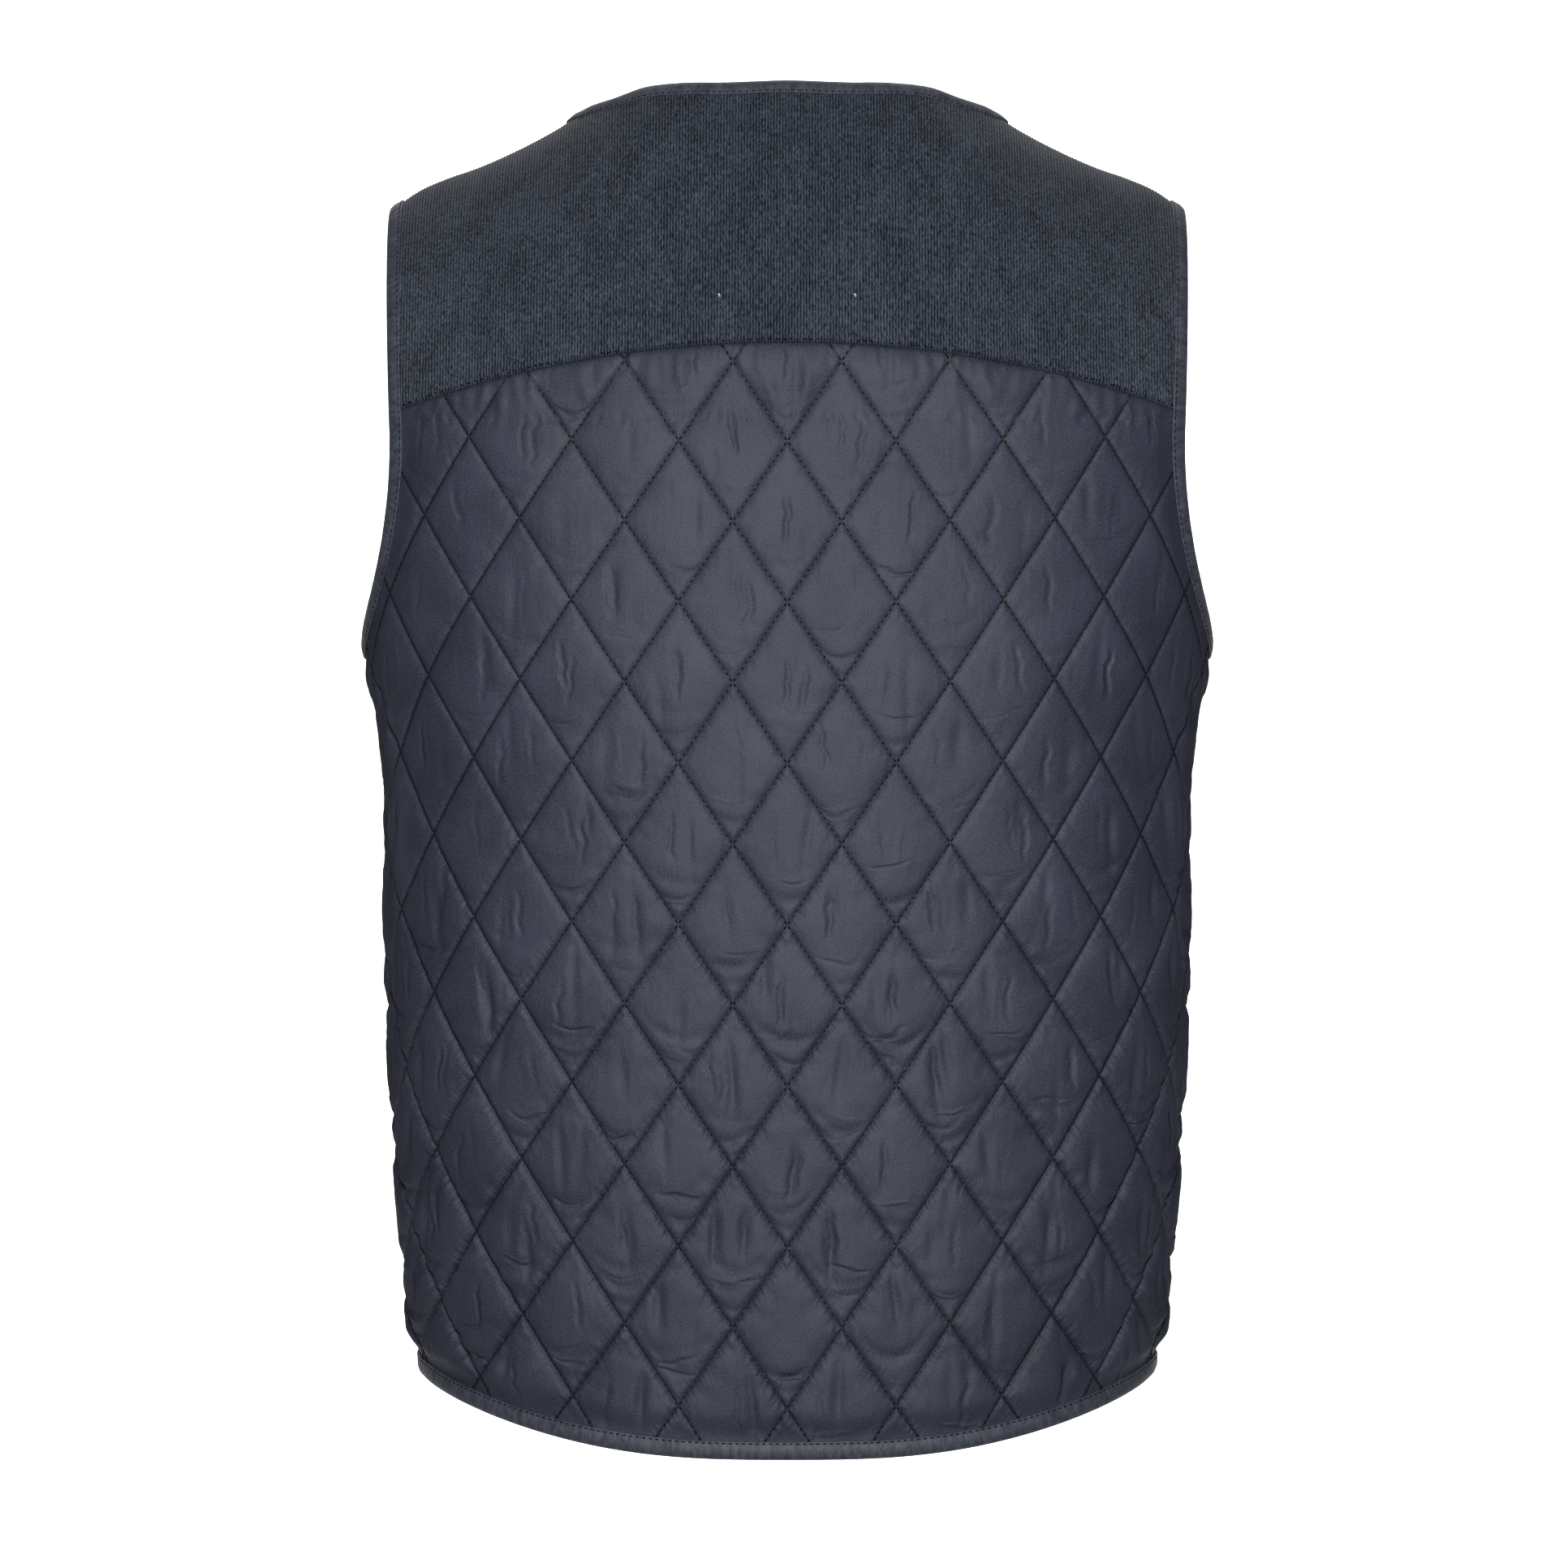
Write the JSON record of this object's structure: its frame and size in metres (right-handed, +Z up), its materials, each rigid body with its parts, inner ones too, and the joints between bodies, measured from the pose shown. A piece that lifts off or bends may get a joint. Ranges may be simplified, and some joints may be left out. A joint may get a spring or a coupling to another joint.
{
  "type": "quilted vest",
  "caption": "Sleeveless diamond-quilted vest with a fine corduroy yoke, bound edges and a press-stud front, worn form with an empty inside.",
  "frame": {"origin": "midway between the shoulders, where the wearer holds the vest up", "axes": "+Z up, the front faces -Y, the wearer's left is +X"},
  "size_m": [0.4454, 0.2539, 0.702],
  "materials": {
    "quilted_cloth": "smooth dark navy polyester with a soft satin sheen, quilted in diamonds",
    "corduroy": "fine-wale dark navy corduroy, napped and matt",
    "binding": "dark navy woven binding, folded and edge-stitched",
    "studs": "dark enamelled press stud"
  },
  "bodies": {
    "root": {"back_yoke": "corduroy", "back_panel": "quilted_cloth", "left_front": "quilted_cloth", "right_front": "quilted_cloth", "edge_binding": "binding", "armhole_binding_left": "binding", "armhole_binding_right": "binding", "stud_cap_1": "studs", "stud_cap_2": "studs", "stud_cap_3": "studs", "stud_cap_4": "studs", "stud_cap_5": "studs", "stud_socket_1": "studs", "stud_socket_2": "studs", "stud_socket_3": "studs", "stud_socket_4": "studs", "stud_socket_5": "studs", "stud_plate_1": "studs", "stud_plate_2": "studs", "stud_plate_3": "studs", "stud_plate_4": "studs", "stud_plate_5": "studs"}
  },
  "joints": []
}
